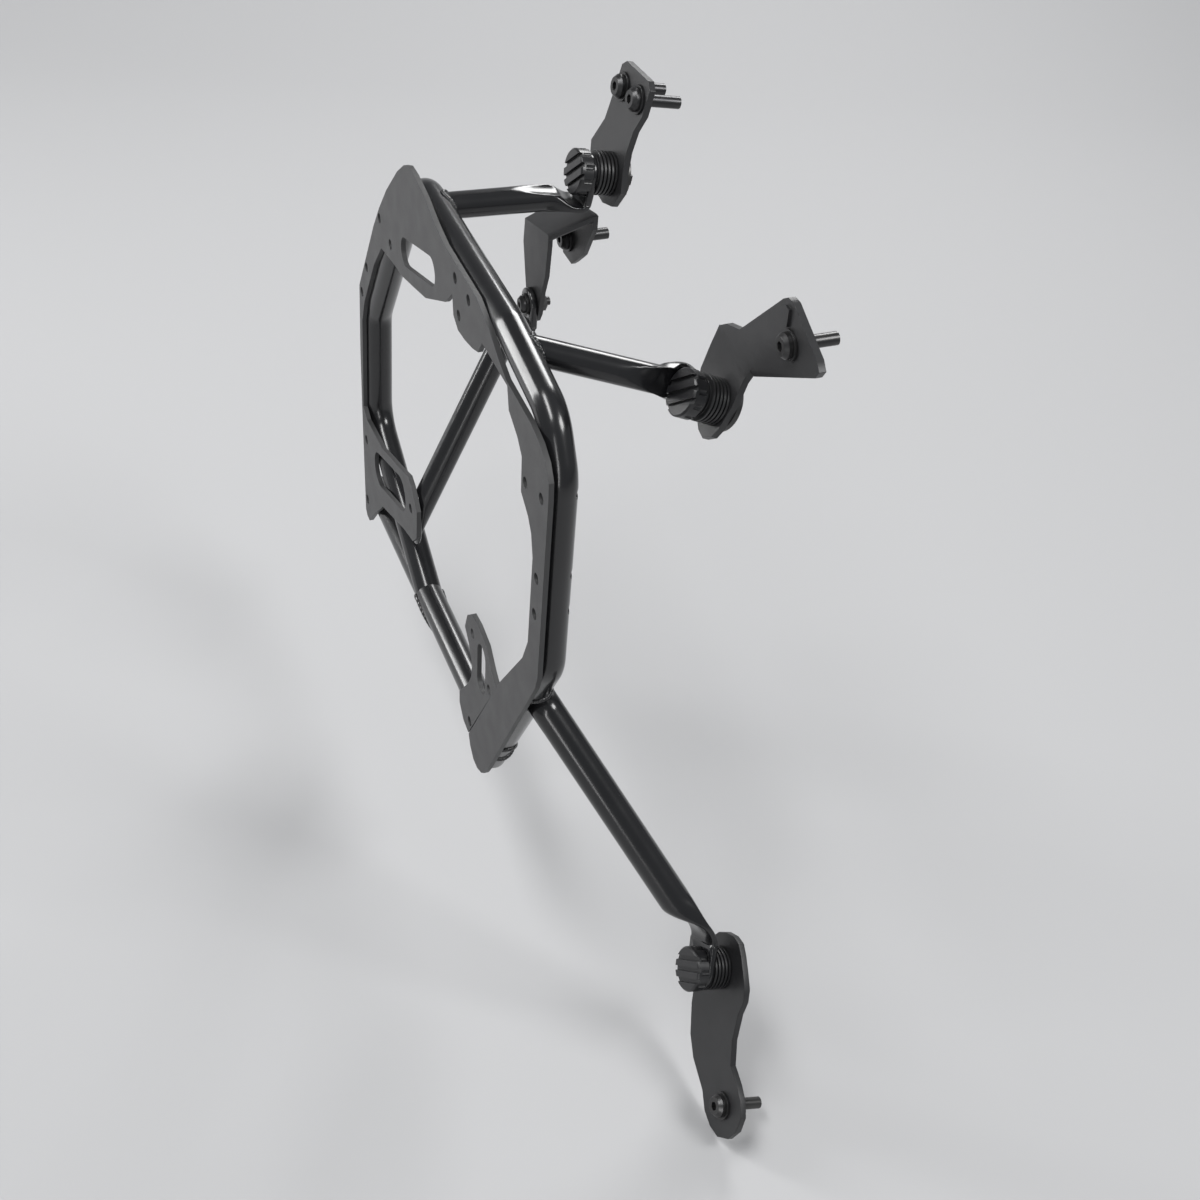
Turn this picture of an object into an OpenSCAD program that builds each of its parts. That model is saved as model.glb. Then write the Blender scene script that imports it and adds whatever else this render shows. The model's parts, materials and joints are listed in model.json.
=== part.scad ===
// Side case carrier for a motorcycle, right hand side: a tube ring with sheet plates,
// three arms with quarter turn locks, a brace, and the brackets bolted to the vehicle.
// X forward, Y inboard towards the vehicle, Z up. Y = 0 is the outboard face of the plates.
// The origin is the middle of the upper row of case holes.

/* [Ring] */
// Outside diameter of the ring tube
ring_d = 18; // [17:0.5:19]
// Wall of the ring tube
ring_wall = 2; // [1.5:0.5:2.5]
// Bend radius of the ring tube on its centre line
ring_bend = 26; // [22:1:34]

/* [Plates] */
// Sheet thickness of the plates
plate_t = 3; // [2.5:0.5:4]
// Diameter of the adapter holes
hole_d = 6.6; // [6:0.1:7]
// Half width of the upper row of case holes
row_half = 129; // [127:0.5:130]
// Spacing of the two holes in the front strip and of the two holes in the top
pair_gap = 24.4; // [22:0.2:26]

/* [Arms] */
// Outside diameter of the two upper arms and of the brace
arm_d = 16; // [15:0.5:17]
// Outside diameter of the lower arm
low_arm_d = 19; // [18:0.5:20]
// Wall of the arm tubes
arm_wall = 2; // [1.5:0.5:2]
// Distance from the outboard face to the face of the rear upper lock
rear_lock_y = 92; // [88:1:96]

/* [Locks] */
// Diameter of the lock heads
head_d = 27; // [25:0.5:28]
// Thickness of a lock head
head_t = 8; // [7:0.5:9]
// Diameter of the lock shafts
shaft_d = 10; // [9:0.5:11]
// Radial clearance of a lock shaft in its bores
turn_gap = 0.1; // [0.06:0.01:0.1]

/* [Brackets] */
// Sheet thickness of the brackets
bracket_t = 4; // [3:0.5:5]
// Shank diameter of the bracket bolts
bolt_d = 8; // [7:0.5:8]

/* [Hidden] */
$fn = 32;

black = [0.05, 0.05, 0.06];
grey = [0.1, 0.1, 0.105];
ring_y = plate_t + ring_d / 2;
eye_t = 2 * arm_wall;
inset = 0.2;
bore_d = shaft_d + 2 * turn_gap;
collar_t = 12;
axial_gap = 0.2;

// Lengths along a lock axis, measured inboard from the face of the head
eye_s = head_t + axial_gap;
collar_s = eye_s + eye_t;
bracket_s = collar_s + collar_t;
keeper_s = bracket_s + bracket_t;
keeper_t = 3;
lug_s = keeper_s + keeper_t + axial_gap;
lug_t = 4;
lug_len = 16;
slot_play = 0.6;

// Each lock: place of the middle of its face, and how far its axis dips inboard
rear_lock = [[-64, rear_lock_y, 71.5], 10];
front_lock = [[120.1, 88, 36.2], 25];
lower_lock = [[233, 80, -302], 17];

// Centre line of the ring tube in X and Z, from its rear foot over the top to its front foot
ring_pts = [[-77.1, -241], [-201.5, -178.3], [-201.5, -93.5], [-128.2, 28], [-91.6, 53.7], [62.7, 53.7],
  [132.1, 43.4], [150, 15.4], [150, -112.8], [63.5, -263]];
bottom_z = -241;
bottom_end = [-204, 76];
bend_lap = 1.5;
bend_skin = 0.1;
cope_gap = 0.05;
over = 1;

// Holes through plate and tube, and holes through the plates alone
front_pair = [[153.3, -45.8], [153.3, -45.8 - pair_gap]];
top_pair = [[2.4, 50.5], [2.4 + pair_gap, 50.5]];
through_tube = concat(front_pair, top_pair, [[153.5, 7]]);
foot_holes = [[-191, bottom_z], [52, bottom_z]];
plate_holes = [[-row_half, 0], [row_half, 0], [-154, 4.8], [-186.5, -48.2], [-199, -73.7], [10.6, 31.3],
  [-192, -189.4], [-81.9, -170]];
gusset_holes = [[52, -168], [85.8, -184.6]];

// Arms: width of an eye against its tube, and how far the eye runs past the lock head
eye_ratio = 1.36;
eye_past = 3;
press_lap = 2;
solid_end = 6;

// Brace: its foot on the plate, the knee where it is pressed flat, and its eye
brace_foot = [-78.7, plate_t, -175.8];
brace_knee = [-83.6, 60, -52];
brace_eye = [-84, 75, -27];
brace_bolt_d = 6;
brace_tab = [20, 12];

// Bolts of the brackets: forward and up from a lock axis, or in X and Z on an upright pad
rear_bolts = [[-10, 50], [12, 52]];
lower_bolts = [[57, -58]];
front_bolts = [[169, 89.5]];
wall_bolts = [[-94, 10]];
front_pad_y = 122;
wall_y = 104;
web_t = 3;
bolt_play = 0.8;
bolt_reach = 22;
brace_reach = 8;
thread_step = 0.8;
washer_t = 1.6;
washer_play = 0.4;
nut_play = 0.04;
bolt_head = 14;
bolt_washer = 17;
brace_head = 11;
brace_washer_d = 13;
nut_d = 11.5;
nut_t = 5;

function unit(a) = a / norm(a);

// Angle turned at corner i of a line of points
function turn(p, i) =
  let (a = unit(p[i] - p[i - 1]), b = unit(p[i + 1] - p[i]))
  atan2(a[0] * b[1] - a[1] * b[0], a * b);

// Bend radius at corner i, smaller where the straights beside it are short
function bend_r(p, i) =
  min(ring_bend, 0.46 * min(norm(p[i] - p[i - 1]), norm(p[i + 1] - p[i])) / tan(abs(turn(p, i)) / 2));

// Length that the bend at corner i takes from each straight beside it
function bend_cut(p, i) = i < 1 || i > len(p) - 2 ? 0 : bend_r(p, i) * tan(abs(turn(p, i)) / 2);

// Turns a drawing in X and Z so that its thickness runs inboard from Y = y
module in_plane(y) {
  translate([0, y, 0])
    rotate([90, 0, 0])
      children();
}

// Section of the ring tube, with its wall thinned by skin on both sides
module ring_section(skin = 0) {
  difference() {
    circle(d = ring_d - 2 * skin);
    circle(d = ring_d - 2 * ring_wall + 2 * skin);
  }
}

// Puts its child, which stands along Z, on the straight of the ring after corner i
module on_straight(i) {
  out = unit(ring_pts[i + 1] - ring_pts[i]);
  in_plane(ring_y)
    translate(ring_pts[i] + out * bend_cut(ring_pts, i))
      rotate([0, 0, atan2(out[1], out[0])])
        rotate([0, 90, 0])
          children();
}

function straight_length(i) =
  norm(ring_pts[i + 1] - ring_pts[i]) - bend_cut(ring_pts, i) - bend_cut(ring_pts, i + 1);

// Bend of the ring tube at corner i, drawn a little thin and lapped into the straights beside it
module ring_corner(i) {
  come = unit(ring_pts[i] - ring_pts[i - 1]);
  t = turn(ring_pts, i);
  start = ring_pts[i] - come * bend_cut(ring_pts, i);
  centre = start + sign(t) * bend_r(ring_pts, i) * [-come[1], come[0]];
  arm = start - centre;
  in_plane(ring_y)
    translate(centre)
      rotate([0, 0, atan2(arm[1], arm[0]) + min(t, 0) - bend_lap])
        rotate_extrude(angle = abs(t) + 2 * bend_lap, $fn = 48)
          translate([bend_r(ring_pts, i), 0])
            ring_section(bend_skin);
}

// Solid bar where the straight after corner i runs, to cope whatever is welded to it
module cope(i) {
  on_straight(i)
    cylinder(d = ring_d + 2 * cope_gap, h = straight_length(i));
}

// Drills through the whole depth of the ring at each place in a list
module drill(places) {
  for (p = places)
    translate([p[0], -1, p[1]])
      rotate([-90, 0, 0])
        cylinder(d = hole_d, h = ring_d + plate_t + 2, $fn = 16);
}

module ring_tube() {
  last = len(ring_pts) - 1;
  color(black)
    difference() {
      union() {
        for (i = [0 : last - 1])
          on_straight(i)
            linear_extrude(straight_length(i))
              ring_section();
        for (i = [1 : last - 1])
          ring_corner(i);
      }
      bottom_bar(ring_d + 2 * cope_gap, ring_pts[0][0] - 4 * ring_d, ring_pts[0][0] + 2 * ring_d);
      drill(through_tube);
    }
}

// Straight tube along the bottom, from the rear corner to the front foot
module bottom_tube() {
  color(black)
    difference() {
      bottom_bar(ring_d, bottom_end[0], bottom_end[1]);
      bottom_bar(ring_d - 2 * ring_wall, bottom_end[0] - 1, bottom_end[1]);
      cope(8);
      drill(foot_holes);
    }
}

// Bar along the bottom run between two places on X
module bottom_bar(d, x0, x1) {
  translate([x0, ring_y, bottom_z])
    rotate([0, 90, 0])
      cylinder(d = d, h = x1 - x0);
}

// Sheet with the outline of its children, outboard face on Y = 0
module sheet() {
  color(grey)
    in_plane(plate_t)
      linear_extrude(plate_t)
        children();
}

// Slot with round ends between two points
module slot(a, b, r) {
  d = b - a;
  translate(a)
    rotate(atan2(d[1], d[0])) {
      circle(r = r, $fn = 32);
      translate([norm(d), 0])
        circle(r = r, $fn = 32);
      translate([0, -r])
        square([norm(d), 2 * r]);
    }
}

module holes(places) {
  for (p = places)
    translate(p)
      circle(d = hole_d, $fn = 16);
}

// Outboard sheet: rear foot, rear strip, top corners, top, front strip and front chamfer
module face_plate() {
  sheet()
    difference() {
      polygon([
        // rear foot, from its bottom corner up the rear edge
        [-186, -256.5], [-192, -256.5], [-196, -253], [-203, -165], [-205.5, -120], [-205.5, -72],
        // rear upper corner
        [-168.7, -8.7], [-154.1, 12.5], [-137.6, 32.9], [-114, 57], [-100, 68], [-90, 72.4], [-78, 72.5],
        // top edge down to the front corner
        [-58, 69.5], [-38, 63.5], [-18, 60], [40, 60], [62, 54], [80, 45.5], [93, 41], [133, 40], [147, 37],
        [157, 31.5], [163, 23], [163.9, 12],
        // front strip, chamfer and its foot
        [163.9, -108], [161, -118], [90, -247], [84, -256.5], [78, -262], [70, -265.5], [62, -265], [55, -259.5],
        [51, -252.5],
        // inner edge of the chamfer and of the front strip
        [103.6, -163], [139, -113.5], [146, -96], [146, -37], [142, -24], [136, -17], [123.5, -9.5],
        [122, 12], [114, 19], [99, 26], [95, 38.6],
        // middle tab and lower edge of the top
        [52, 38.6], [46, 29], [36, 25.5], [22, 22.5], [10, 21.5], [1, 26], [-2, 38],
        // bar under the rear upper window
        [-5, 34.7], [-14.5, 25.5], [-53, 5.8], [-78, -1], [-103.6, -7.7], [-122, -9.5], [-150, -14], [-168, -36],
        // inner edge of the rear strip and of the rear foot
        [-193, -78], [-199, -96], [-199, -166], [-190, -171], [-150, -168.5], [-100, -152.5], [-88, -148],
        [-80, -151], [-67.5, -163], [-67.5, -184], [-76, -193], [-96, -198], [-150, -218], [-172, -240]
      ]);
      slot([-96, 12.5], [-44, 29], 9);
      slot([-158, -192], [-106, -174.5], 12.5);
      holes(concat(plate_holes, through_tube, [foot_holes[0]]));
    }
}

// Slotted gusset inside the front foot
module front_foot_plate() {
  sheet()
    difference() {
      polygon([[50, -252.5], [40, -251], [31, -243], [30, -234], [46, -214], [52, -203], [53, -192], [46, -181],
        [37, -174], [41, -162], [50, -154], [62, -153], [78, -156], [90, -166], [98.9, -171.5]]);
      slot([70, -171], [71, -191], 7.5);
      holes(gusset_holes);
      holes([foot_holes[1]]);
    }
}

// Solid bar of diameter d from a to b
module bar(a, b, d) {
  v = b - a;
  translate(a)
    rotate([0, acos(v[2] / norm(v)), atan2(v[1], v[0])])
      cylinder(d = d, h = norm(v));
}

// Places its child on a lock: local Z runs inboard along the lock axis, local Y is up the tab
module on_lock(lock) {
  translate(lock[0])
    rotate([-90 - lock[1], 0, 0])
      rotate([0, 0, 180])
        children();
}

function lock_point(lock, s) = lock[0] + s * [0, cos(lock[1]), -sin(lock[1])];

// Outline of a flat eye with a straight tail upwards
module eye(w, tail) {
  circle(d = w);
  translate([-w / 2, 0])
    square([w, tail]);
}

// Arm: round tube coped to a straight of the ring, then pressed flat to an eye on the lock axis
module arm(root, knee, lock, d, side, straight, flats) {
  dir = unit(knee - root);
  eye_w = eye_ratio * d;
  reach = head_d / 2 + eye_past;
  color(black)
    difference() {
      union() {
        difference() {
          bar(root, knee, d);
          bar(root - d * dir, knee - solid_end * dir, d - 2 * arm_wall);
        }
        hull() {
          bar(knee - press_lap * dir, knee + inset * dir, d - 2 * inset, $fn = flats);
          on_lock(lock)
            rotate([0, 0, side])
              translate([inset - eye_w / 2, reach, eye_s + inset])
                cube([eye_w - 2 * inset, 3, eye_t - 2 * inset]);
        }
        on_lock(lock)
          rotate([0, 0, side])
            translate([0, 0, eye_s])
              linear_extrude(eye_t)
                eye(eye_w, reach + 1.5);
      }
      cope(straight);
      on_lock(lock) {
        cylinder(d = bore_d, h = 60);
        translate([0, 0, -over])
          cylinder(d = head_d + 1, h = eye_s + over);
        translate([0, 0, collar_s])
          cylinder(d = head_d + 1, h = head_d);
      }
    }
}

module rear_upper_arm() {
  arm([-72.9, ring_y, 53.7], [-66, 75, 55.4], rear_lock, arm_d, 180, 4, 28);
}

module front_upper_arm() {
  arm([79.5, ring_y, 51.2], [105, 81, 35.5], front_lock, arm_d, -98, 5, 28);
}

module lower_arm() {
  arm([131.2, ring_y + 1.7, -151.9], [212, 76, -259.8], lower_lock, low_arm_d, -30, 8, 32);
}

// Brace from the back of the rear foot plate to a flat eye on the brace bracket
module rear_brace() {
  dir = unit(brace_knee - brace_foot);
  past = 30;
  color(black)
    difference() {
      union() {
        difference() {
          bar(brace_foot - past * dir, brace_knee, arm_d);
          bar(brace_foot - (past + over) * dir, brace_knee - solid_end * dir, arm_d - 2 * arm_wall);
        }
        hull() {
          bar(brace_knee - press_lap * dir, brace_knee + inset * dir, arm_d - 2 * inset, $fn = 28);
          translate(brace_eye + [inset - brace_tab[0] / 2, inset, -brace_tab[1] - 1])
            cube([brace_tab[0] - 2 * inset, eye_t - 2 * inset, 2]);
        }
        translate(brace_eye)
          rotate([-90, 0, 0])
            linear_extrude(eye_t)
              eye(brace_tab[0], brace_tab[1]);
      }
      translate(brace_foot - [60, 120, 100])
        cube([120, 120, 160]);
      translate(brace_eye - [0, 1, 0])
        rotate([-90, 0, 0])
          cylinder(d = brace_bolt_d + bolt_play, h = eye_t + 2);
    }
}

// Head of a lock with its grip slots, shaft and cross lug
module lock_head(lock, twist) {
  slot_w = 2.8;
  slot_deep = 2;
  slot_pitch = 6.6;
  notch_d = 3.6;
  notches = 10;
  color(black)
    on_lock(lock) {
      difference() {
        union() {
          cylinder(d1 = head_d - 2, d2 = head_d, h = 1);
          translate([0, 0, 1])
            cylinder(d = head_d, h = head_t - 1);
        }
        rotate([0, 0, twist])
          for (k = [-1 : 1])
            translate([k * slot_pitch - slot_w / 2, -head_d / 2 - 1, -1])
              cube([slot_w, head_d + 2, slot_deep + 1]);
        for (k = [0 : notches - 1])
          rotate([0, 0, 360 / notches * k])
            translate([head_d / 2 + 0.6, 0, 3])
              cylinder(d = notch_d, h = head_t, $fn = 16);
      }
      translate([0, 0, head_t - 1])
        cylinder(d = shaft_d, h = lug_s + lug_t - head_t + 1);
      translate([-lug_len / 2, -shaft_d * 0.3, lug_s])
        cube([lug_len, shaft_d * 0.6, lug_t]);
    }
}

module rear_lock_head() {
  lock_head(rear_lock, 47);
}

module front_lock_head() {
  lock_head(front_lock, 47);
}

module lower_lock_head() {
  lock_head(lower_lock, 47);
}

// Ribbed collar between the eye of an arm and its bracket
module lock_collar(lock) {
  rib_d = head_d - 1;
  waist_d = head_d - 6;
  ribs = 5;
  pitch = collar_t / ribs;
  color(grey)
    on_lock(lock)
      translate([0, 0, collar_s])
        difference() {
          union() {
            cylinder(d = waist_d, h = collar_t);
            for (k = [0 : ribs - 1])
              translate([0, 0, k * pitch + pitch * 0.2])
                cylinder(d = rib_d, h = pitch * 0.6);
          }
          translate([0, 0, -1])
            cylinder(d = bore_d, h = collar_t + 2);
        }
}

module rear_lock_collar() {
  lock_collar(rear_lock);
}

module front_lock_collar() {
  lock_collar(front_lock);
}

module lower_lock_collar() {
  lock_collar(lower_lock);
}

// Keeper disc behind a bracket: its slot lets the lug through, and a quarter turn locks it
module lock_keeper(lock) {
  color(grey)
    on_lock(lock)
      translate([0, 0, keeper_s])
        difference() {
          cylinder(d = head_d + 3, h = keeper_t);
          translate([0, 0, -1])
            cylinder(d = bore_d, h = keeper_t + 2);
          translate([-shaft_d * 0.3 - slot_play / 2, -lug_len / 2 - slot_play, -1])
            cube([shaft_d * 0.6 + slot_play, lug_len + 2 * slot_play, keeper_t + 2]);
        }
}

module rear_lock_keeper() {
  lock_keeper(rear_lock);
}

module front_lock_keeper() {
  lock_keeper(front_lock);
}

module lower_lock_keeper() {
  lock_keeper(lower_lock);
}

// Plate of a bracket square to a lock axis: its outline is given forward and up from that axis
module lock_plate(lock, outline, bolts) {
  on_lock(lock)
    translate([0, 0, bracket_s])
      linear_extrude(bracket_t)
        mirror([1, 0])
          difference() {
            polygon(outline);
            circle(d = lug_len + 2 * slot_play);
            for (p = bolts)
              translate(p)
                circle(d = bolt_d + bolt_play);
          }
}

// Upright pad with its outboard face on Y = y, drilled for a bolt at each place
module pad(y, t, places, d) {
  difference() {
    in_plane(y + t)
      linear_extrude(t)
        children();
    for (p = places)
      translate([p[0], y - 1, p[1]])
        rotate([-90, 0, 0])
          cylinder(d = d + bolt_play, h = t + 2);
  }
}

module rear_bracket() {
  color(black)
    lock_plate(rear_lock, [[-20, -14], [-31, -5], [-35, 5], [-24, 24], [-21, 42], [-19, 60], [-14, 64],
      [18, 66], [23, 62], [22, 46], [16, 34], [14, 20], [16, 8], [20, -3], [13, -15], [0, -19], [-10, -18]], rear_bolts);
}

// Front bracket: tab on the lock, folded to an upright pad with a locating rib above its bolt
module front_bracket() {
  rib = [5, 1.5, 10];
  color(black)
    union() {
      lock_plate(front_lock, [[14, -8], [12, -15], [6, -20], [-1, -19], [-10, -14], [-21, -5], [-27, 5],
        [-30, 18], [-32, 30], [12, 30], [11, 20], [14, 6]], []);
      pad(front_pad_y, bracket_t, front_bolts, bolt_d)
        polygon([[88, 50], [90, 54], [97, 59], [113, 65], [155, 108], [160, 111.5], [166, 111.5], [197, 97.5],
          [201, 93], [198, 88], [136, 50]]);
      translate([160, front_pad_y - rib[1], 97.5])
        cube([rib[0], rib[1] + 1, rib[2]]);
    }
}

module lower_bracket() {
  color(black)
    lock_plate(lower_lock, [[-10, 20], [-3, 24], [4, 25], [11, 21.5], [19, 16], [27, 10], [31, 3], [32, -6],
      [38, -22], [47, -34], [59, -37], [68, -41], [75, -48], [77, -58], [74, -68], [66, -76], [56, -78], [46, -76],
      [36, -69], [16, -63], [4, -55], [-8, -40], [-16, -25], [-20, -10], [-20, 5], [-16, 14]], lower_bolts);
}

// Bar with square section t between two points
module edge(a, b, t) {
  hull() {
    translate(a)
      cube(t);
    translate(b)
      cube(t);
  }
}

// Folded brace bracket: web behind the brace eye, sloping roof, and an inner wall for its bolt
module brace_bracket() {
  web_y = brace_eye[1] + eye_t;
  web_top = [[-105, web_y, 18], [-66, web_y, 28]];
  wall_top = [[-105, wall_y, 30], [-58, wall_y, 42]];
  color(black)
    union() {
      pad(web_y, web_t, [[brace_eye[0], brace_eye[2]]], brace_bolt_d)
        polygon([[-105, 21], [-106, 5], [-99, -18], [-95, -30], [-91, -36], [-84, -38.5], [-77, -36], [-73, -29],
          [-70, -12], [-65, 2], [-63, 24], [-63, 31]]);
      hull() {
        edge(web_top[0], web_top[1], web_t);
        edge(wall_top[0], wall_top[1], web_t);
      }
      pad(wall_y, web_t, wall_bolts, bolt_d)
        polygon([[-105, 33], [-105, 2], [-101, -4], [-86, -4], [-80, 1], [-68, 12], [-55, 36], [-55, 45]]);
    }
}

// Button head bolt along Z with its washer below Z = 0: plain shank to grip, then the threaded reach
module bolt(d, head, grip, reach) {
  head_h = 0.55 * d;
  difference() {
    translate([0, 0, -washer_t - head_h]) {
      cylinder(d1 = 0.75 * head, d2 = head, h = head_h / 2);
      translate([0, 0, head_h / 2])
        cylinder(d = head, h = head_h / 2);
    }
    translate([0, 0, -washer_t - head_h - 1])
      cylinder(d = 0.7 * d, h = head_h * 0.6 + 1, $fn = 6);
  }
  translate([0, 0, -washer_t - 0.1])
    cylinder(d = d, h = grip + washer_t + 0.1);
  translate([0, 0, grip - 0.1])
    cylinder(d = d - thread_step, h = reach + 0.1);
}

module washer(d, outer) {
  translate([0, 0, -washer_t])
    difference() {
      cylinder(d = outer, h = washer_t);
      translate([0, 0, -1])
        cylinder(d = d + washer_play, h = washer_t + 2 * over);
    }
}

// Puts its child on the outboard face of every bracket, at each of their bolts
module at_bolts() {
  for (p = rear_bolts)
    on_lock(rear_lock)
      translate([-p[0], p[1], bracket_s])
        children();
  for (p = lower_bolts)
    on_lock(lower_lock)
      translate([-p[0], p[1], bracket_s])
        children();
  for (p = front_bolts)
    translate([p[0], front_pad_y, p[1]])
      rotate([-90, 0, 0])
        children();
  for (p = wall_bolts)
    translate([p[0], wall_y, p[1]])
      rotate([-90, 0, 0])
        children();
}

module bracket_bolts() {
  color(black)
    at_bolts()
      bolt(bolt_d, bolt_head, bracket_t, bolt_reach);
}

module bracket_washers() {
  color(black)
    at_bolts()
      washer(bolt_d, bolt_washer);
}

// Puts its child on the outboard face of the brace eye
module at_eye(depth) {
  translate(brace_eye + [0, depth, 0])
    rotate([-90, 0, 0])
      children();
}

module brace_bolt() {
  color(black)
    at_eye(0)
      bolt(brace_bolt_d, brace_head, eye_t + web_t, brace_reach);
}

module brace_washer() {
  color(black)
    at_eye(0)
      washer(brace_bolt_d, brace_washer_d);
}

module brace_nut() {
  color(black)
    at_eye(eye_t + web_t)
      difference() {
        cylinder(d = nut_d, h = nut_t, $fn = 6);
        translate([0, 0, -over])
          cylinder(d = brace_bolt_d - thread_step + nut_play, h = nut_t + 2 * over);
      }
}

ring_tube();
bottom_tube();
face_plate();
front_foot_plate();
rear_upper_arm();
front_upper_arm();
lower_arm();
rear_brace();
rear_lock_head();
front_lock_head();
lower_lock_head();
rear_lock_collar();
front_lock_collar();
lower_lock_collar();
rear_lock_keeper();
front_lock_keeper();
lower_lock_keeper();
rear_bracket();
front_bracket();
lower_bracket();
brace_bracket();
bracket_bolts();
bracket_washers();
brace_bolt();
brace_washer();
brace_nut();
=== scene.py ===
"""Side case carrier for a motorcycle: powder coated tube ring, sheet plates, arms and quarter turn locks."""
import json
import math

import bmesh
import bpy
import numpy as np
from mathutils import Matrix, Vector


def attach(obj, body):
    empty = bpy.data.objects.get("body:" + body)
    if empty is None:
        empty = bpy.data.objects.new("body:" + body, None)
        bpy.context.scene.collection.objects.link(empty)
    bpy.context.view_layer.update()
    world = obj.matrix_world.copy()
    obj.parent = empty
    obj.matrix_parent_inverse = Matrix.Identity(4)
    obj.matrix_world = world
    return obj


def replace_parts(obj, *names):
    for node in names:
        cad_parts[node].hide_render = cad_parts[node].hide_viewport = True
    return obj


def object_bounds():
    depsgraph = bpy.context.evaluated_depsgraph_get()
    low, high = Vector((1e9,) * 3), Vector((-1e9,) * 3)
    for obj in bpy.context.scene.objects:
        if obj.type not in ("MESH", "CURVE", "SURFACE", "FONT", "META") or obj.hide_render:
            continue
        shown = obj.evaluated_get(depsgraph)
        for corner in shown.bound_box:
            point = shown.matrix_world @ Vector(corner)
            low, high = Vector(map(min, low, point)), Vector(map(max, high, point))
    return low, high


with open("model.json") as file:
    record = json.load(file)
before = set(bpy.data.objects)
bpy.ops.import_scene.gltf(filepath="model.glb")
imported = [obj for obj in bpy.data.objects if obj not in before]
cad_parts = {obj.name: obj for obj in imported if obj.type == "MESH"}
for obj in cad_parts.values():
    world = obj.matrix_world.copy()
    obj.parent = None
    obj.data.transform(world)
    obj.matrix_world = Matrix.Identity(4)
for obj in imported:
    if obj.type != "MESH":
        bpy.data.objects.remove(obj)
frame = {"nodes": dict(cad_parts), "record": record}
nodes = frame["nodes"]
cad_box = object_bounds()

# Sizes in metres, the same as in the source
MM = 0.001
PLATE_T = 3 * MM
RING_R = 9 * MM
RING_Y = PLATE_T + RING_R
TUBE_WALL = 2 * MM
ARM_R = 8 * MM
LOW_ARM_R = 9.5 * MM
HEAD_R = 13.5 * MM
EYE_T = 4 * MM
EYE_S = 8.2 * MM
EYE_RATIO = 1.36
BORE_R = 5.1 * MM
SCREW_R = 3.3 * MM
BOTTOM_Z = -241 * MM
RING_BEND = 26 * MM

# Eye of the brace: width, length of its tail, and radius of its bore
BRACE_EYE = (20 * MM, 12 * MM, 3.4 * MM)
BRACE_LAP = MM

# Pressed ends: gap to the lock's head, tail past the head, lap of eye and arm, soft edge of an eye, share of
# the way to the eye over which a tube is pressed flat, and pull of each end on the curve, as a share of its
# length
HEAD_GAP = MM
TAIL_REACH = 3 * MM
EYE_LAP = 1.5 * MM
EYE_SOFT = 0.5 * MM
PRESS_SHARE = 0.6
CURVE_PULL = 0.3

# Weld beads: radius on an arm and on a foot, and length of one pool
ARM_BEAD = 1.6 * MM
FOOT_BEAD = 1.5 * MM
POOL = 1.9 * MM

# Sides of the round sections
TUBE_SIDES = 48
EYE_SIDES = 96
BEAD_SIDES = 10

# Distance in metres below which loose corners merge, and angles in degrees: faces merge as flat below the
# first, are shaded as smooth below the second, and have their edge rounded above the third
MERGE_GAP = 0.000005
FLAT_BELOW = 0.4
SMOOTH_BELOW = 28
ROUND_ABOVE = 40

# Centre line and holes of the ring in X and Z, and foot, knee and eye of the brace, in millimetres
RING_POINTS = ((-77.1, -241), (-201.5, -178.3), (-201.5, -93.5), (-128.2, 28), (-91.6, 53.7), (62.7, 53.7),
               (132.1, 43.4), (150, 15.4), (150, -112.8), (63.5, -263))
RING_HOLES = ((153.3, -45.8), (153.3, -70.2), (2.4, 50.5), (26.8, 50.5), (153.5, 7))
BRACE = ((-78.7, 3, -175.8), (-83.6, 60, -52), (-84, 75, -27))

# Each lock: middle of its face, and how far its axis dips inboard, in degrees
REAR_LOCK = (np.array([-64, 92, 71.5]) * MM, 10)
FRONT_LOCK = (np.array([120.1, 88, 36.2]) * MM, 25)
LOWER_LOCK = (np.array([233, 80, -302]) * MM, 17)

# Camera of the photograph, aimed at the middle of the part
CAMERA_PLACE = Vector((0.882, -0.2835, 0.587))
CAMERA_AIM = Vector((0.0672, 0.0758, -0.1465))
CAMERA_UP = Vector((-0.5475, 0.1464, 0.8239))
CAMERA_LENS = 57


def added(name, data):
    """New object of the scene, at the origin."""
    made = bpy.data.objects.new(name, data)
    bpy.context.scene.collection.objects.link(made)
    return made


def unit(v):
    """Vector or rows of vectors divided by their own length."""
    v = np.asarray(v, float)
    return v / np.linalg.norm(v, axis=-1, keepdims=True)


def grid_faces(rows, cols, looped):
    """Quads of a grid whose columns close on themselves. Its rows close too where it is looped, as on a
    ring, and otherwise its two ends are capped."""
    steps = rows if looped else rows - 1
    i, j = np.meshgrid(np.arange(steps), np.arange(cols), indexing="ij")
    a = i * cols + j
    b = i * cols + (j + 1) % cols
    c = (i + 1) % rows * cols + (j + 1) % cols
    d = (i + 1) % rows * cols + j
    faces = np.stack([a, b, c, d], -1).reshape(-1, 4).tolist()
    if looped:
        return faces
    return faces + [list(range(cols)), list(range((rows - 1) * cols, rows * cols))]


def make_object(name, grids):
    """One mesh object from pairs of a grid of points (rows, columns, 3) and whether its rows are looped."""
    points, faces = [], []
    for grid, looped in grids:
        faces += [[k + len(points) for k in face] for face in grid_faces(*grid.shape[:2], looped)]
        points += grid.reshape(-1, 3).tolist()
    mesh = bpy.data.meshes.new(name)
    mesh.from_pydata(points, [], faces)
    work = bmesh.new()
    work.from_mesh(mesh)
    bmesh.ops.recalc_face_normals(work, faces=work.faces)
    work.to_mesh(mesh)
    work.free()
    mesh.polygons.foreach_set("use_smooth", np.ones(len(faces), bool))
    mesh.update()
    return added(name, mesh)


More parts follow.
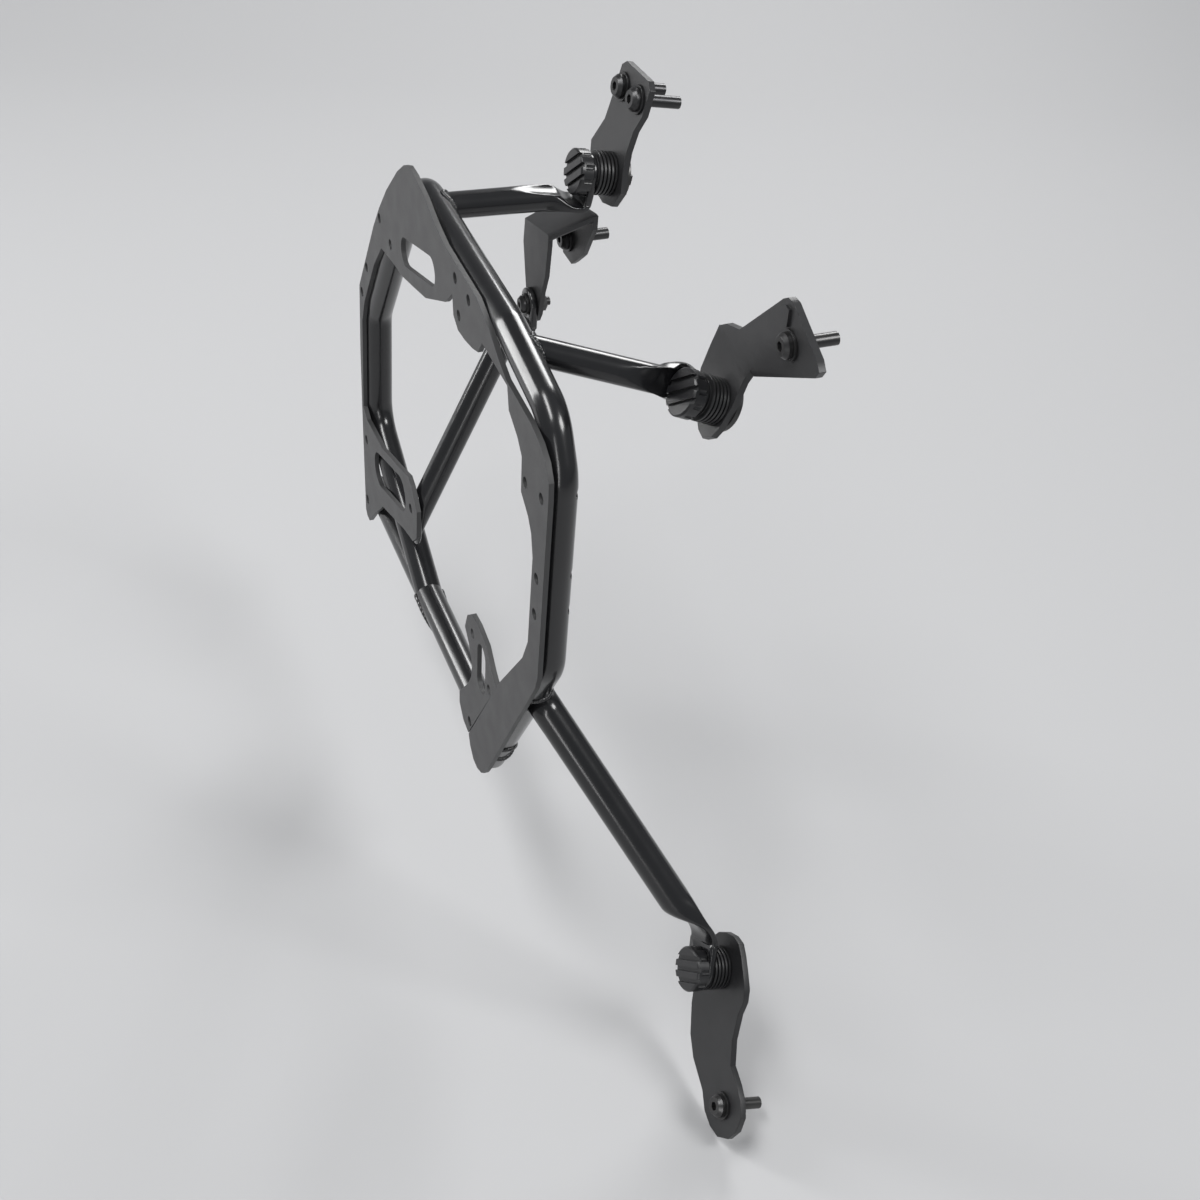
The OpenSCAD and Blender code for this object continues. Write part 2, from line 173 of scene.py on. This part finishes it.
def drilled(piece, places, radius):
    """Cuts a round hole along Y through a piece at each place in X and Z, and keeps the cut mesh."""
    t = np.linspace(0, 2 * math.pi, 32, endpoint=False)
    circle = np.stack([radius * np.cos(t), 0 * t, radius * np.sin(t)], -1)
    ends = np.array([[0, -0.01, 0], [0, 0.04, 0]])
    drills = [(circle[None] + ends[:, None] + np.array([x, 0, z]) * MM, False) for x, z in places]
    cutter = make_object("drills", drills)
    cut = piece.modifiers.new("holes", "BOOLEAN")
    cut.object = cutter
    cut.solver = "EXACT"
    cut.use_self = True
    shape = piece.evaluated_get(bpy.context.evaluated_depsgraph_get())
    mesh = bpy.data.meshes.new_from_object(shape)
    piece.modifiers.clear()
    piece.data = mesh
    bpy.data.objects.remove(cutter)


def lock_basis(lock, side):
    """Width, length and axis of an eye on a lock, its tail turned side degrees round the axis."""
    dip, s = math.radians(lock[1]), math.radians(side)
    axis = np.array([0, math.cos(dip), -math.sin(dip)])
    across = np.array([-1.0, 0, 0])
    up = np.array([0, math.sin(dip), math.cos(dip)])
    wide = math.cos(s) * across + math.sin(s) * up
    tail = math.cos(s) * up - math.sin(s) * across
    return wide, tail, axis


def eye_grid(middle, wide, tail, axis, width, reach, bore_r):
    """Flat eye: at angle t its outline is at r(t), the circle of the eye away from its tail and the box of
    the tail on the other side, and the profile runs from the bore out and back along the second face."""
    t = np.linspace(0, 2 * math.pi, EYE_SIDES, endpoint=False)
    c, s = np.cos(t), np.sin(t)
    box = np.minimum(width / 2 / np.maximum(np.abs(c), 1e-6), reach / np.maximum(np.abs(s), 1e-6))
    outline = np.where(s > 0, box, width / 2)
    outer = np.array([0, 1, 1, 1, 1, 0])
    height = np.array([0, 0, EYE_SOFT, EYE_T - EYE_SOFT, EYE_T, EYE_T])
    trim = np.array([0, EYE_SOFT, 0, 0, EYE_SOFT, 0])
    radius = np.where(outer[:, None] > 0, outline[None] - trim[:, None], bore_r)
    ring = c[None, :, None] * wide + s[None, :, None] * tail
    return middle + radius[..., None] * ring + height[:, None, None] * axis


def arm_grid(root, knee, end, wide, tail, radius, width, foot_y=None):
    """Arm: a circle carried from root to knee, then a superellipse whose half sizes, exponent and directions
    pass smoothly from the round tube to the flat tail of the eye, over the first PRESS_SHARE of the way
    there. A foot is cut by the plane Y = foot_y."""
    run = unit(knee - root)
    pull = CURVE_PULL * np.linalg.norm(end - knee)
    u = np.linspace(0, 1, 28)[:, None]
    centre = ((1 - u) ** 3 * knee + 3 * (1 - u) ** 2 * u * (knee + run * pull)
              + 3 * (1 - u) * u ** 2 * (end + tail * pull) + u ** 3 * end)
    press = np.minimum(u / PRESS_SHARE, 1)
    blend = press * press * (3 - 2 * press)
    flow = unit(np.gradient(centre, axis=0))
    flow[0] = run
    across = unit(wide - (flow @ wide)[:, None] * flow)
    over = np.cross(flow, across)
    a = radius + blend * (width / 2 - radius)
    b = radius + blend * (EYE_T / 2 - radius)
    power = 2 / (2 + 5 * blend)
    t = np.linspace(0, 2 * math.pi, TUBE_SIDES, endpoint=False)[None]
    x = np.sign(np.cos(t)) * np.abs(np.cos(t)) ** power
    y = np.sign(np.sin(t)) * np.abs(np.sin(t)) ** power
    pressed = centre[:, None] + (a * x)[..., None] * across[:, None] + (b * y)[..., None] * over[:, None]
    base = pressed[0] + root - knee
    if foot_y is not None:
        base = base + ((foot_y - base[:, 1]) / run[1])[:, None] * run
    w = np.linspace(0, 1, 14)[:-1, None, None]
    straight = (1 - w) * base + w * pressed[0]
    return np.concatenate([straight, pressed])


def bent_path(points, radius, steps=14):
    """Line of points in X and Z with an arc at every corner, as the ring is bent in the source: each arc's
    radius is held back where the straights beside it are short."""
    runs = unit(np.diff(points, axis=0))
    lengths = np.linalg.norm(np.diff(points, axis=0), axis=1)
    path = [points[:1]]
    for k in range(1, len(points) - 1):
        a, b = runs[k - 1], runs[k]
        turn = math.atan2(a[0] * b[1] - a[1] * b[0], a @ b)
        half = math.tan(abs(turn) / 2)
        r = min(radius, 0.46 * min(lengths[k - 1], lengths[k]) / half)
        start = points[k] - a * r * half
        inward = math.copysign(1, turn) * np.array([-a[1], a[0]])
        t = np.linspace(0, abs(turn), steps)[:, None]
        path.append(start + r * (1 - np.cos(t)) * inward + r * np.sin(t) * a)
    path.append(points[-1:])
    flat = np.concatenate(path)
    return np.stack([flat[:, 0], np.full(len(flat), RING_Y), flat[:, 1]], -1)


def tube_grid(path, radius, wall):
    """Hollow tube: a circle carried along the path on the outside and back on the inside, with chamfered
    ends."""
    flow = unit(np.gradient(path, axis=0))
    side = np.array([0, 1.0, 0])
    up = np.cross(flow, side)
    soft = 0.4 * MM
    inner = radius - wall
    first, last = path[:1] + flow[:1] * soft, path[-1:] - flow[-1:] * soft
    rows = np.concatenate([path[:1], first, path[1:-1], last, path[-1:], path[-1:], last, path[-2:0:-1],
                           first, path[:1]])
    ups = np.concatenate([up[:1], up[:1], up[1:-1], up[-1:], up[-1:], up[-1:], up[-1:], up[-2:0:-1], up[:1],
                          up[:1]])
    count = len(path)
    size = np.concatenate([[radius - soft], np.full(count, radius), [radius - soft, inner + soft],
                           np.full(count, inner), [inner + soft]])
    t = np.linspace(0, 2 * math.pi, TUBE_SIDES, endpoint=False)
    ring = np.cos(t)[None, :, None] * ups[:, None] + np.sin(t)[None, :, None] * side
    return rows[:, None] + size[:, None, None] * ring


def bead_grid(curve, radius, seed):
    """Weld bead: a round section carried along a closed curve, its radius rippled by overlapping pools."""
    n = len(curve)
    flow = unit(np.roll(curve, -1, 0) - np.roll(curve, 1, 0))
    out = unit(curve - curve.mean(0))
    out = unit(out - (out * flow).sum(-1, keepdims=True) * flow)
    over = np.cross(flow, out)
    around = np.linspace(0, 2 * math.pi, n, endpoint=False)
    length = np.linalg.norm(np.roll(curve, -1, 0) - curve, axis=1).sum()
    pools = round(length / POOL)
    ripple = np.abs(np.sin(around * pools / 2 + seed)) ** 0.6
    size = radius * (0.86 + 0.2 * ripple + 0.05 * np.sin(around * 3 + seed * 2))
    t = np.linspace(0, 2 * math.pi, BEAD_SIDES, endpoint=False)
    ring = np.cos(t)[None, :, None] * out[:, None] + np.sin(t)[None, :, None] * over[:, None]
    return curve[:, None] + size[:, None, None] * ring


def joint_curve(root, run, radius, line_point, line_run, line_radius, rows=240):
    """Closed curve where a round tube meets another: for every line along the first tube, the nearer root of
    the quadratic that gives its distance to the axis of the second."""
    run, e = unit(run), unit(line_run)
    u = unit(np.cross(run, e))
    v = np.cross(run, u)
    t = np.linspace(0, 2 * math.pi, rows, endpoint=False)[:, None]
    p = root + radius * (np.cos(t) * u + np.sin(t) * v) - line_point
    pf = p - (p @ e)[:, None] * e
    df = run - run @ e * e
    a = df @ df
    b = 2 * pf @ df
    c = (pf * pf).sum(-1) - line_radius ** 2
    gap = np.sqrt(np.maximum(b * b - 4 * a * c, 0))
    s = (-b + gap) / (2 * a)
    return p + line_point + s[:, None] * run


def socket(tree, name, kind, value, least=None, most=None):
    """Adds a named input with its own value to a node group."""
    item = tree.interface.new_socket(name, in_out="INPUT", socket_type=kind)
    item.default_value = value
    if least is not None:
        item.min_value, item.max_value = least, most


def feed(tree, entry, slot):
    """Links a socket to an input, or gives the input a plain number."""
    if hasattr(entry, "is_linked"):
        tree.links.new(entry, slot)
    else:
        slot.default_value = entry


def noise(tree, coords, scale, detail):
    """Noise of a scale per metre on the given coordinates."""
    node = tree.nodes.new("ShaderNodeTexNoise")
    tree.links.new(coords, node.inputs["Vector"])
    feed(tree, scale, node.inputs["Scale"])
    node.inputs["Detail"].default_value = detail
    return node.outputs["Fac"]


def ranged(tree, value, low, high, to_low, to_high):
    """Value moved from one range to another, with the ends of the new range given as numbers or sockets."""
    node = tree.nodes.new("ShaderNodeMapRange")
    tree.links.new(value, node.inputs["Value"])
    for key, entry in (("From Min", low), ("From Max", high), ("To Min", to_low), ("To Max", to_high)):
        feed(tree, entry, node.inputs[key])
    return node.outputs["Result"]


def math_node(tree, operation, a, b):
    """Result of one sum on numbers or sockets."""
    node = tree.nodes.new("ShaderNodeMath")
    node.operation = operation
    feed(tree, a, node.inputs[0])
    feed(tree, b, node.inputs[1])
    return node.outputs[0]


def coat_group():
    """Powder coat or moulded skin: cloudy colour, orange peel and fine grain as height, and roughness that
    follows a soft bloom of handling and dust."""
    tree = bpy.data.node_groups.new("powder_coat", "ShaderNodeTree")
    socket(tree, "Colour", "NodeSocketColor", (0.02, 0.02, 0.02, 1))
    socket(tree, "Bloom", "NodeSocketColor", (0.06, 0.06, 0.06, 1))
    socket(tree, "Cloud", "NodeSocketFloat", 0.3, 0, 1)
    socket(tree, "Grain Scale", "NodeSocketFloat", 1800, 1, 9000)
    socket(tree, "Grain", "NodeSocketFloat", 0.5, 0, 1)
    socket(tree, "Gloss Low", "NodeSocketFloat", 0.3, 0, 1)
    socket(tree, "Gloss High", "NodeSocketFloat", 0.4, 0, 1)
    tree.interface.new_socket("Colour", in_out="OUTPUT", socket_type="NodeSocketColor")
    tree.interface.new_socket("Roughness", in_out="OUTPUT", socket_type="NodeSocketFloat")
    tree.interface.new_socket("Height", in_out="OUTPUT", socket_type="NodeSocketFloat")
    given = tree.nodes.new("NodeGroupInput").outputs
    made = tree.nodes.new("NodeGroupOutput").inputs
    coords = tree.nodes.new("ShaderNodeTexCoord").outputs["Object"]
    cloud = noise(tree, coords, 14, 5)
    smudge = noise(tree, coords, 65, 4)
    fine = noise(tree, coords, given["Grain Scale"], 3)
    peel = noise(tree, coords, 420, 2)
    amount = math_node(tree, "MULTIPLY", ranged(tree, cloud, 0.35, 0.7, 0, 1), given["Cloud"])
    colour = tree.nodes.new("ShaderNodeMix")
    colour.data_type = "RGBA"
    tree.links.new(amount, colour.inputs["Factor"])
    tree.links.new(given["Colour"], colour.inputs[6])
    tree.links.new(given["Bloom"], colour.inputs[7])
    tree.links.new(colour.outputs[2], made["Colour"])
    mottle = math_node(tree, "ADD", math_node(tree, "MULTIPLY", smudge, 0.6),
                       math_node(tree, "MULTIPLY", fine, 0.4))
    rough = ranged(tree, mottle, 0.3, 0.7, given["Gloss Low"], given["Gloss High"])
    tree.links.new(rough, made["Roughness"])
    height = math_node(tree, "ADD", math_node(tree, "MULTIPLY", fine, given["Grain"]),
                       math_node(tree, "MULTIPLY", peel, 0.5))
    tree.links.new(height, made["Height"])
    return tree


COAT = coat_group()


def finish(name, colour, bloom, cloud, grain_scale, grain, gloss, bump, metallic=0.0, coat=0.0):
    """Material with one shader fed by the coat group, with a bump of the given strength."""
    material = bpy.data.materials.new(name)
    material.use_nodes = True
    tree = material.node_tree
    shader = tree.nodes["Principled BSDF"]
    group = tree.nodes.new("ShaderNodeGroup")
    group.node_tree = COAT
    group.inputs["Colour"].default_value = (*colour, 1)
    group.inputs["Bloom"].default_value = (*bloom, 1)
    group.inputs["Cloud"].default_value = cloud
    group.inputs["Grain Scale"].default_value = grain_scale
    group.inputs["Grain"].default_value = grain
    group.inputs["Gloss Low"].default_value = gloss[0]
    group.inputs["Gloss High"].default_value = gloss[1]
    relief = tree.nodes.new("ShaderNodeBump")
    relief.inputs["Strength"].default_value = bump
    relief.inputs["Distance"].default_value = 0.0002
    tree.links.new(group.outputs["Height"], relief.inputs["Height"])
    tree.links.new(group.outputs["Colour"], shader.inputs["Base Color"])
    tree.links.new(group.outputs["Roughness"], shader.inputs["Roughness"])
    tree.links.new(relief.outputs["Normal"], shader.inputs["Normal"])
    shader.inputs["Metallic"].default_value = metallic
    shader.inputs["Coat Weight"].default_value = coat
    shader.inputs["Coat Roughness"].default_value = 0.12
    return material


SATIN_TUBE = finish("satin_black_tube", (0.006, 0.006, 0.0068), (0.011, 0.011, 0.012), 0.4, 2600, 0.4,
                    (0.19, 0.27), 0.1, coat=0.25)
TEXTURED_SHEET = finish("textured_black_sheet", (0.03, 0.03, 0.031), (0.043, 0.043, 0.043), 0.5, 3200, 1.0,
                        (0.42, 0.54), 0.4)
BRACKET_SHEET = finish("bracket_black_sheet", (0.013, 0.013, 0.014), (0.022, 0.022, 0.023), 0.5, 3000, 0.9,
                       (0.34, 0.46), 0.3)
LOCK_SKIN = finish("moulded_black_lock", (0.009, 0.009, 0.01), (0.018, 0.018, 0.019), 0.6, 3800, 0.7,
                   (0.28, 0.38), 0.18)
COLLAR_SKIN = finish("ribbed_black_collar", (0.01, 0.01, 0.011), (0.02, 0.02, 0.02), 0.6, 3400, 0.8,
                     (0.36, 0.48), 0.22)
BLACK_ZINC = finish("black_zinc_fastener", (0.045, 0.045, 0.047), (0.09, 0.088, 0.085), 0.8, 4200, 0.3,
                    (0.26, 0.4), 0.08, metallic=0.85)
FINISHES = {"tube_paint": SATIN_TUBE, "plate_paint": TEXTURED_SHEET, "bracket_paint": BRACKET_SHEET,
            "lock_plastic": LOCK_SKIN, "collar_plastic": COLLAR_SKIN, "fastener": BLACK_ZINC}


def smooth_group(limit):
    """Geometry nodes that shade smooth across every edge whose faces meet at less than limit degrees."""
    tree = bpy.data.node_groups.new("smooth_below_%d" % limit, "GeometryNodeTree")
    tree.interface.new_socket("Geometry", in_out="INPUT", socket_type="NodeSocketGeometry")
    tree.interface.new_socket("Geometry", in_out="OUTPUT", socket_type="NodeSocketGeometry")
    given = tree.nodes.new("NodeGroupInput")
    made = tree.nodes.new("NodeGroupOutput")
    angle = tree.nodes.new("GeometryNodeInputMeshEdgeAngle")
    below = tree.nodes.new("FunctionNodeCompare")
    below.operation = "LESS_THAN"
    below.inputs[1].default_value = math.radians(limit)
    faces = tree.nodes.new("GeometryNodeSetShadeSmooth")
    edges = tree.nodes.new("GeometryNodeSetShadeSmooth")
    edges.domain = "EDGE"
    tree.links.new(given.outputs[0], faces.inputs["Geometry"])
    tree.links.new(faces.outputs[0], edges.inputs["Geometry"])
    tree.links.new(angle.outputs["Unsigned Angle"], below.inputs[0])
    tree.links.new(below.outputs[0], edges.inputs["Shade Smooth"])
    tree.links.new(edges.outputs[0], made.inputs[0])
    return tree


SMOOTH = smooth_group(SMOOTH_BELOW)


def shade_smooth(piece):
    """Adds the modifier that shades a piece smooth except across its sharp edges."""
    piece.modifiers.new("smooth", "NODES").node_group = SMOOTH


def dress_node(node, material, bevel):
    """Merges a node's loose triangles, rounds its sharp edges by bevel, and gives it its finish."""
    node.data.materials.clear()
    node.data.materials.append(material)
    weld = node.modifiers.new("merge", "WELD")
    weld.merge_threshold = MERGE_GAP
    if bevel:
        flat = node.modifiers.new("flat_faces", "DECIMATE")
        flat.decimate_type = "DISSOLVE"
        flat.angle_limit = math.radians(FLAT_BELOW)
        soft = node.modifiers.new("soft_edges", "BEVEL")
        soft.width = bevel
        soft.segments = 2
        soft.limit_method = "ANGLE"
        soft.angle_limit = math.radians(ROUND_ABOVE)
        soft.miter_outer = "MITER_ARC"
    shade_smooth(node)
    if bevel:
        even = node.modifiers.new("even_normals", "WEIGHTED_NORMAL")
        even.keep_sharp = True


BEVELS = {"tube_paint": 0, "plate_paint": 0.00045, "bracket_paint": 0.0005, "lock_plastic": 0.0004,
          "collar_plastic": 0.00025, "fastener": 0.00025}
for part in frame["record"]["subparts"]:
    kind = part["material_slot"]
    dress_node(nodes[part["node"]], FINISHES[kind], BEVELS[kind])


def coated_piece(name, grids):
    """Piece in the satin black of the tubes."""
    piece = make_object(name, grids)
    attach(piece, "carrier")
    piece.data.materials.append(SATIN_TUBE)
    return piece


def clear_of_head(points, lock, axis):
    """Presses points beside a lock's head square away from its axis until they are clear of the head."""
    rel = points - lock[0]
    along = rel @ axis
    square = rel - along[..., None] * axis
    far = np.linalg.norm(square, axis=-1)
    push = np.where(along < EYE_S, np.maximum(HEAD_R + HEAD_GAP - far, 0), 0)
    return points + push[..., None] * unit(square)


def build_arm(name, node, root, knee, lock, side, radius, line):
    """Arm with its pressed end, its eye, and the weld bead where it meets a straight of the ring."""
    root, knee = np.array(root) * MM, np.array(knee) * MM
    wide, tail, axis = lock_basis(lock, side)
    width = EYE_RATIO * 2 * radius
    reach = HEAD_R + TAIL_REACH
    end = lock[0] + axis * (EYE_S + EYE_T / 2) + tail * reach
    skin = clear_of_head(arm_grid(root, knee, end, wide, tail, radius, width), lock, axis)
    eye = eye_grid(lock[0] + axis * EYE_S, wide, tail, axis, width, reach + EYE_LAP, BORE_R)
    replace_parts(coated_piece(name, [(skin, False), (eye, True)]), node)
    start, stop = (np.array([x * MM, RING_Y, z * MM]) for x, z in line)
    curve = joint_curve(root, knee - root, radius, start, stop - start, RING_R)
    coated_piece(name + "_weld", [(bead_grid(curve, ARM_BEAD, len(name)), True)])


def build_brace():
    """Brace from its foot on the plate to the flat eye on the brace bracket, with a bead round its foot."""
    foot, knee, eye = (np.array(p) * MM for p in BRACE)
    wide, tail, axis = np.array([1.0, 0, 0]), np.array([0, 0, -1.0]), np.array([0, 1.0, 0])
    width, reach, bore_r = BRACE_EYE
    end = eye + axis * EYE_T / 2 + tail * reach
    skin = arm_grid(foot, knee, end, wide, tail, ARM_R, width, PLATE_T)
    ring = eye_grid(eye, wide, tail, axis, width, reach + BRACE_LAP, bore_r)
    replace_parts(coated_piece("brace_tube", [(skin, False), (ring, True)]), "rear_brace")
    coated_piece("brace_weld", [(bead_grid(skin[0], FOOT_BEAD, 3), True)])


def build_ring():
    """Bent tube ring as one sweep, with the beads where the bottom tube meets it."""
    path = bent_path(np.array(RING_POINTS) * MM, RING_BEND)
    ring = coated_piece("ring_sweep", [(tube_grid(path, RING_R, TUBE_WALL), True)])
    drilled(ring, RING_HOLES, SCREW_R)
    shade_smooth(ring)
    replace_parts(ring, "ring_tube")
    along, bottom = np.array([1.0, 0, 0]), np.array([0, RING_Y, BOTTOM_Z])
    front = joint_curve(bottom, along, RING_R, path[-1], path[-1] - path[-2], RING_R)
    rear = joint_curve(path[1], path[0] - path[1], RING_R, bottom, along, RING_R)
    for name, curve in (("front_foot_weld", front), ("rear_foot_weld", rear)):
        coated_piece(name, [(bead_grid(curve, FOOT_BEAD, 5), True)])


build_ring()
build_brace()
build_arm("rear_arm_tube", "rear_upper_arm", (-72.9, 12, 53.7), (-66, 75, 55.4), REAR_LOCK, 180, ARM_R,
          ((-91.6, 53.7), (62.7, 53.7)))
build_arm("front_arm_tube", "front_upper_arm", (79.5, 12, 51.2), (105, 81, 35.5), FRONT_LOCK, -98, ARM_R,
          ((62.7, 53.7), (132.1, 43.4)))
build_arm("lower_arm_tube", "lower_arm", (131.2, 13.7, -151.9), (212, 76, -259.8), LOWER_LOCK, -30,
          LOW_ARM_R, ((150, -112.8), (63.5, -263)))


def plane_shade(name, colour, rough):
    """Plain matt finish with a faint mottle, for the floor and the wall behind."""
    material = bpy.data.materials.new(name)
    material.use_nodes = True
    tree = material.node_tree
    shader = tree.nodes["Principled BSDF"]
    coords = tree.nodes.new("ShaderNodeTexCoord").outputs["Object"]
    mottle = ranged(tree, noise(tree, coords, 3, 3), 0.3, 0.7, rough - 0.04, rough + 0.04)
    tree.links.new(mottle, shader.inputs["Roughness"])
    shader.inputs["Base Color"].default_value = (*colour, 1)
    shader.inputs["Specular IOR Level"].default_value = 0.2
    return material


def sweep_stage(z, reach, radius):
    """Floor that curves up into a wall behind the part: a line, a quarter circle and a line, drawn out
    sideways."""
    back = unit(np.array([-CAMERA_PLACE.x, -CAMERA_PLACE.y, 0]))
    across = np.array([-back[1], back[0], 0])
    t = np.linspace(0, math.pi / 2, 24)
    run = np.concatenate([[-reach], reach - radius + radius * np.sin(t), [reach]])
    rise = np.concatenate([[0], radius - radius * np.cos(t), [3 * reach]])
    wide = np.array([-2.5 * reach, 2.5 * reach])
    points = (run[:, None, None] * back + rise[:, None, None] * np.array([0, 0, 1])
              + wide[None, :, None] * across + np.array([0, 0, z]))
    rows = len(run)
    i = np.arange(rows - 1)
    quads = np.stack([2 * i, 2 * i + 1, 2 * i + 3, 2 * i + 2], -1)
    mesh = bpy.data.meshes.new("studio_sweep")
    mesh.from_pydata(points.reshape(-1, 3).tolist(), [], quads.tolist())
    mesh.polygons.foreach_set("use_smooth", np.ones(len(quads), bool))
    floor = added("studio_sweep", mesh)
    floor.data.materials.append(plane_shade("pale_grey_stage", (0.42, 0.42, 0.425), 0.8))


sweep_stage(cad_box[0].z - 0.002, 2.2, 1.0)


def aimed(place, aim, up):
    """Matrix that puts an object at place, looking at aim along its own -Z."""
    forward = (aim - place).normalized()
    up = (up - forward * up.dot(forward)).normalized()
    right = forward.cross(up)
    turn = Matrix((right, up, -forward)).transposed()
    return Matrix.Translation(place) @ turn.to_4x4()


def soft_box(name, place, size, power):
    """Rectangular lamp at place, aimed at the part."""
    lamp = bpy.data.lights.new(name, "AREA")
    lamp.shape = "RECTANGLE"
    lamp.size, lamp.size_y = size
    lamp.energy = power
    added(name, lamp).matrix_world = aimed(Vector(place), CAMERA_AIM, Vector((0.1, 0.05, 1)))


soft_box("key_lamp", (0.2, -0.7, 1.7), (1.5, 0.4), 26)
soft_box("side_lamp", (-1.2, -1.3, 0.5), (0.35, 1.5), 20)
soft_box("edge_lamp", (1.15, 1.1, 1.35), (0.7, 0.7), 22)
soft_box("back_lamp", (-1.25, 1.0, 1.1), (0.7, 0.7), 20)
soft_box("front_lamp", (1.9, -1.1, 0.2), (0.3, 1.6), 10)

world = bpy.data.worlds.new("studio_light")
bpy.context.scene.world = world
world.use_nodes = True
sky = world.node_tree.nodes["Background"]
sky.inputs["Color"].default_value = (0.92, 0.96, 1.0, 1)
sky.inputs["Strength"].default_value = 0.3

camera = bpy.data.cameras.new("camera")
camera.lens = CAMERA_LENS
camera.sensor_width = 36
camera.clip_start = 0.02
camera.clip_end = 40
holder = added("camera", camera)
holder.matrix_world = aimed(CAMERA_PLACE, CAMERA_AIM, CAMERA_UP)
bpy.context.scene.camera = holder
bpy.context.scene.view_settings.view_transform = "Standard"
